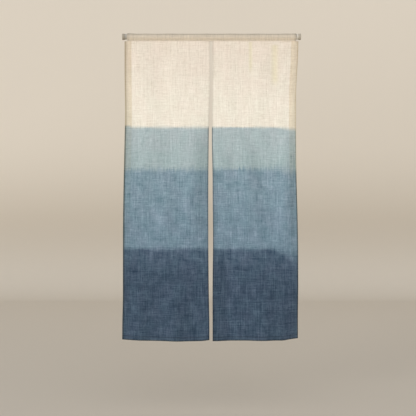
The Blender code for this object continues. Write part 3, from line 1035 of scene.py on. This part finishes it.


# How far along the roll a panel was cut, which gives it slubs of its own, and how much painted shade darkens
# each part of its edges, in its cream, teal, blue and navy cloth.
# A yellow mark is an X, half a width, and two drops
Shades = namedtuple("Shades", "cut_at hem rim line_width outer_line inner inner_line inner_line_top marks")
LEFT_SHADES = Shades(
    cut_at=0.0,
    hem=(0.12, 0.04, 0.02, 0.0),
    rim=(0.14, 0.14, 0.06, 0.0),
    line_width=0.0060,
    outer_line=(0.22, 0.42, 0.50, 0.34),
    inner=(0.0, 0.04, 0.05, 0.0),
    inner_line=(0.14, 0.46, 0.36, 0.42),
    inner_line_top=0.35,
    marks=(),
)
RIGHT_SHADES = Shades(
    cut_at=2.63,
    hem=(0.10, 0.04, 0.07, 0.0),
    rim=(0.10, 0.06, 0.02, 0.0),
    line_width=0.0034,
    outer_line=(0.10, 0.12, 0.44, 0.40),
    inner=(0.0, 0.0, 0.17, 0.13),
    inner_line=(0.20, 0.54, 0.36, 0.36),
    inner_line_top=0.0,
    marks=((0.1905, 0.007, 0.02, 0.185), (0.3090, 0.014, 0.035, 0.250)),
)

# The same for both panels: yellow marks, painted shade at the bottom hem, pooled dye, the outer hem's
# warmth, and how much more the weave and the uneven hue show in dyed cloth
MARK_STRENGTH = 0.62
MARK_FADE_IN = 0.01
MARK_FADE_OUT = 0.05
BOTTOM_SEAM_SHADES = (0.0, 0.0, 0.0, 0.27)
BOTTOM_RIM_SHADE = 0.32
BOTTOM_SHADE = 0.02
POOLING = (0.0, 0.0, 0.72, 1.42)
CLOUDS_SHARE = 0.92
HEM_WARMTH = (0.55, 0.30, 0.15, 0.15)
BLUE_DEPTH = 1.2
NAVY_DEPTH = 1.4
UNDYED_CONTRAST = 0.10
DYED_CONTRAST = 0.058
UNDYED_TINGE = 0.25
DYED_TINGE = 0.20


def by_band(board, covers, amounts):
    """A value that changes from band to band with the dye."""
    value = amounts[0]
    for cover, next_amount in zip(covers, amounts[1:]):
        value = board.fade(cover, 0.0, 1.0, value, next_amount)
    return value


def pooled_dye(board, place):
    """Where deep dye pooled while it dried: soft clouds, and longer streaks along both sets of threads."""
    pools = board.times(board.grain(place, DYE_CLOUDS), CLOUDS_SHARE)
    for grain, share in DYE_STREAKS:
        pools = board.times_plus(board.grain(place, grain), share, pools)
    return pools


def edge_shade(board, hems, covers, shades):
    """How much painted shade darkens a panel on its doubled hems, along its edges and at its bottom seam."""
    line_top = shades.inner_line_top
    line_start = board.fade(hems["Drop"], line_top * 0.5, line_top + 0.001)
    cream_line = board.times(line_start, shades.inner_line[0])
    darker = board.times(hems["Bottom"], BOTTOM_SHADE)
    darker = board.times_plus(hems["Bottom rim"], BOTTOM_RIM_SHADE, darker)
    for mask, amounts in (
        ("Bottom seam", BOTTOM_SEAM_SHADES),
        ("Outer", shades.hem),
        ("Outer rim", shades.rim),
        ("Outer line", shades.outer_line),
        ("Inner", shades.inner),
        ("Inner line", (cream_line, *shades.inner_line[1:])),
    ):
        darker = board.times_plus(hems[mask], by_band(board, covers, amounts), darker)
    return darker


def yellow_marks(board, colour, marks):
    """A colour with faint yellow streaks down it."""
    x, _, z = board.split(board.place("Object"))
    for middle, width, top, low in marks:
        shown = board.fade(board.size(board.minus(x, middle)), 0.0, 2.0 * width, MARK_STRENGTH, 0.0)
        shown = board.fade(z, -low, MARK_FADE_OUT - low, 0.0, shown)
        shown = board.fade(z, -top - MARK_FADE_IN, -top, shown, 0.0)
        colour = board.mix(shown, colour, YELLOW_TINT, "MULTIPLY")
    return colour


def panel_finish(name, shades):
    """Dip-dyed slub cloth, uneven in hue, with painted edge shade. The more dye, the more its slubs show."""
    material, board, shader = new_finish(name, Roughness=0.88, **CLOTH_SHINE)
    place = board.place("UV")
    on_roll = board.vectors("ADD", place, (shades.cut_at, 0.0, 0.0))
    colour, covers = dip_dye(board, on_roll)
    teal, blue, navy = covers
    depth = board.times_plus(navy, NAVY_DEPTH, board.times_plus(blue, BLUE_DEPTH, teal))
    contrast = board.times_plus(depth, DYED_CONTRAST, UNDYED_CONTRAST)
    weave = board.use(WEAVE, Place=on_roll, Contrast=contrast)
    hems = board.use(HEM_BANDS, Place=place, Line_width=shades.line_width)
    slub_hue = CREAM_SLUB_HUE
    for cover, dye in zip(covers, DYES):
        slub_hue = board.mix(cover, slub_hue, dye.slub_hue)
    hue_noise = board.fade(board.grain(on_roll, UNEVEN_HUE), *HUE_RANGE)
    tinge = board.mix(hue_noise, GREEN_TINGE, RED_TINGE)
    tinged = board.mix(board.times_plus(depth, DYED_TINGE, UNDYED_TINGE), colour, tinge, "MULTIPLY")
    # A warmer tone on the outer hem, and a painted warm reflection along the outer edge line and the bottom
    # rim
    warm = board.times(hems["Outer"], by_band(board, covers, HEM_WARMTH))
    warm = board.maths("MAXIMUM", warm, board.maths("MAXIMUM", hems["Outer line"], hems["Bottom rim"]))
    tinged = board.mix(warm, tinged, HEM_TINGE, "MULTIPLY")
    tinged = yellow_marks(board, tinged, shades.marks)
    pooling = board.times(by_band(board, covers, POOLING), pooled_dye(board, on_roll))
    amount = board.times(weave["Tint"], board.plus(1.0, pooling))
    slubbed = board.shade_by_hue(tinged, amount, slub_hue)
    # Painted shade along the edges, the doubled hems and the bottom seam
    lighter = board.minus(1.0, edge_shade(board, hems, covers, shades))
    surface(board, shader, board.shade(slubbed, lighter), weave["Height"], WEAVE_BUMP)
    return material


def heading_finish():
    """Undyed slub cloth with painted shade along the rod's top, its lip and its end hems, painted light
    below.
    """
    material, board, shader = new_finish("heading_slub", Roughness=0.9, **CLOTH_SHINE)
    weave = board.use(WEAVE, Place=board.place("UV"), Contrast=UNDYED_CONTRAST)
    x, _, height = board.split(board.place("Object"))
    # Painted shade along the rod's top, and painted light lower down the heading
    dust_and_top_shade = board.fade(height, *TOP_PAINTED_SHADE)
    painted_light_by_height = board.fade(height, *HEIGHT_PAINTED_LIGHT)
    amount = board.times(board.minus(painted_light_by_height, dust_and_top_shade), board.fade(height, *LIP_SHADE))
    # Painted shade at both ends of the heading
    for end in (LEFT_END_SHADE, RIGHT_END_SHADE):
        amount = board.times(amount, board.fade(x, *end))
    top_shaded_tone = tuple(part * share for part, share in zip(HEADING_SHADED_TONE, TOP_SHADE_TINGE))
    colour = board.mix(dust_and_top_shade, HEADING_SHADED_TONE, top_shaded_tone)
    shaded = board.shade(colour, board.times(weave["Tint"], amount))
    surface(board, shader, shaded, weave["Height"], WEAVE_BUMP)
    return material


def thread_finish(name, dyed):
    """Sewing thread, which took the panel's dye where it was dipped with it."""
    material, board, shader = new_finish(name, **THREAD_SHINE)
    place = board.place("Object")
    colour = THREAD_TONE
    if dyed:
        colour = dip_dye(board, place)[0]
    ply = board.grain(place, THREAD_PLY)
    surface(board, shader, board.shade(colour, board.plus(0.90, board.times(ply, 0.3))), ply, THREAD_BUMP)
    return material


def hard_finish(name, colour, wear, left_dulling, **shader_values):
    """Enamel or rubber with light wear, and painted shade darkening it by a share at the rod's left end."""
    material, board, shader = new_finish(name, **shader_values)
    place = board.place("Object")
    marks = board.use(HANDLING, Place=place, Strength=wear)
    # Painted shade at the rod's left end
    left_end_shade = board.fade(board.split(place)[0], *LEFT_CAP_X, 1.0 - left_dulling, 1.0)
    board.put(shader.inputs["Roughness"], board.plus(shader_values["Roughness"], marks["Rough"]))
    shaded = board.shade(colour, board.times(marks["Tint"], left_end_shade))
    surface(board, shader, shaded, marks["Height"], HARD_BUMP)
    return material


# Putting it together

def finish_piece(piece, material, slot, *nodes):
    piece.data.materials.clear()
    piece.data.materials.append(material)
    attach(piece, BODY)
    if nodes:
        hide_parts(*nodes)


def build_curtain():
    left = PanelShape(LEFT_EDGES, LEFT_LIFTS, LEFT_FOLDS + LEFT_CREASES)
    right = PanelShape(RIGHT_EDGES, RIGHT_LIFTS, RIGHT_FOLDS + RIGHT_CREASES)
    undyed_thread = thread_finish("heading_thread", False)
    dyed_thread = thread_finish("panel_thread", True)

    heading = build_heading()
    finish_piece(heading, heading_finish(), "heading_cloth", "heading")
    heading_stitches = sew_heading()
    finish_piece(heading_stitches, undyed_thread, "heading_cloth")

    for side, shape, shades in (("left", left, LEFT_SHADES), ("right", right, RIGHT_SHADES)):
        node = "panel_" + side
        panel = build_panel(node + "_cloth", shape)
        finish_piece(panel, panel_finish("dip_dyed_slub_" + side, shades), "panel_cloth", node)
        stitches = sew_panel(node + "_stitches", shape)
        finish_piece(stitches, dyed_thread, "panel_cloth")

    rod = build_rod()
    finish_piece(rod, hard_finish("white_enamel", ENAMEL_TONE, **ENAMEL_WEAR_AND_SHADE), "rod_steel", "rod")
    rubber = hard_finish("cap_rubber", RUBBER_TONE, **RUBBER_WEAR_AND_SHADE)
    for name, side in (("rod_cap_left", -1.0), ("rod_cap_right", 1.0)):
        finish_piece(build_cap(name + "_rubber", side), rubber, "cap_rubber", name)

    heading_run = float(heading_path()[-1, 4])


def build_stage():
    """A pale floor that turns up into the backdrop."""
    back_y = BACKDROP_Y - COVE_RADIUS
    bpy.ops.mesh.primitive_plane_add(size=1.0, location=(0.0, 0.0, -FLOOR_DROP))
    stage = bpy.context.object
    stage.name = "studio_sweep"
    bpy.ops.transform.resize(value=(STAGE_WIDTH, back_y - STAGE_FRONT_Y, 1.0))
    bpy.ops.transform.translate(value=(0.0, (STAGE_FRONT_Y + back_y) / 2.0, 0.0))
    bpy.ops.object.transform_apply()
    points = stage.data.vertices
    for point in points:
        point.select = abs(point.co.y - back_y) < SMALL_STEP
    for edge in stage.data.edges:
        edge.select = all(points[end].select for end in edge.vertices)
    for face in stage.data.polygons:
        face.select = False
    bpy.context.tool_settings.mesh_select_mode = (False, True, False)
    to_mode("EDIT")
    angles = np.linspace(0.0, math.pi / 2.0, COVE_STEPS + 1)
    moves = zip(COVE_RADIUS * np.diff(np.sin(angles)), -COVE_RADIUS * np.diff(np.cos(angles)))
    for back, up in [*moves, (0.0, BACKDROP_HEIGHT)]:
        bpy.ops.mesh.extrude_region_move(TRANSFORM_OT_translate={"value": (0.0, float(back), float(up))})
    to_mode("OBJECT")
    bpy.ops.object.shade_smooth()
    stage.data.materials.append(paper_finish())


def paper_finish():
    material, board, shader = new_finish("sweep_paper", Roughness=0.9, Specular_IOR_Level=0.1)
    place = board.place("Object")
    fibre = board.times(board.grain(place, PAPER_FIBRE), 0.02)
    height = board.split(place)[2]
    # Painted shade: the backdrop darkens towards the floor
    backdrop = board.mix(board.fade(height, *BACKDROP_FADE), BACKDROP_LOW, BACKDROP_HIGH)
    paper = board.mix(board.fade(height, -FLOOR_DROP, COVE_RADIUS - FLOOR_DROP), FLOOR_TONE, backdrop)
    board.put(shader.inputs["Base Color"], board.shade(paper, board.plus(1.0, fibre)))
    return material


def build_studio():
    """One soft window light, the sky around it, and the camera."""
    scene = bpy.context.scene
    scene.view_settings.view_transform = "Standard"
    world = bpy.data.worlds.new("studio_light")
    world.use_nodes = True
    around = world.node_tree.nodes["Background"]
    around.inputs["Color"].default_value = SKY_COLOUR
    around.inputs["Strength"].default_value = SKY_STRENGTH
    scene.world = world
    light = bpy.data.lights.new("window_light", "SUN")
    light.energy = LIGHT_POWER
    light.angle = LIGHT_SPREAD
    lamp = bpy.data.objects.new("window_light", light)
    scene.collection.objects.link(lamp)
    lamp.rotation_euler = Vector(LIGHT_HEADING).to_track_quat("-Z", "Y").to_euler()
    camera = bpy.data.cameras.new("camera")
    camera.lens = CAMERA_LENS
    camera.sensor_width = CAMERA_SENSOR
    holder = bpy.data.objects.new("camera", camera)
    scene.collection.objects.link(holder)
    holder.location = CAMERA_PLACE
    holder.rotation_euler = (math.pi / 2.0, 0.0, 0.0)
    scene.camera = holder


build_curtain()
build_stage()
build_studio()
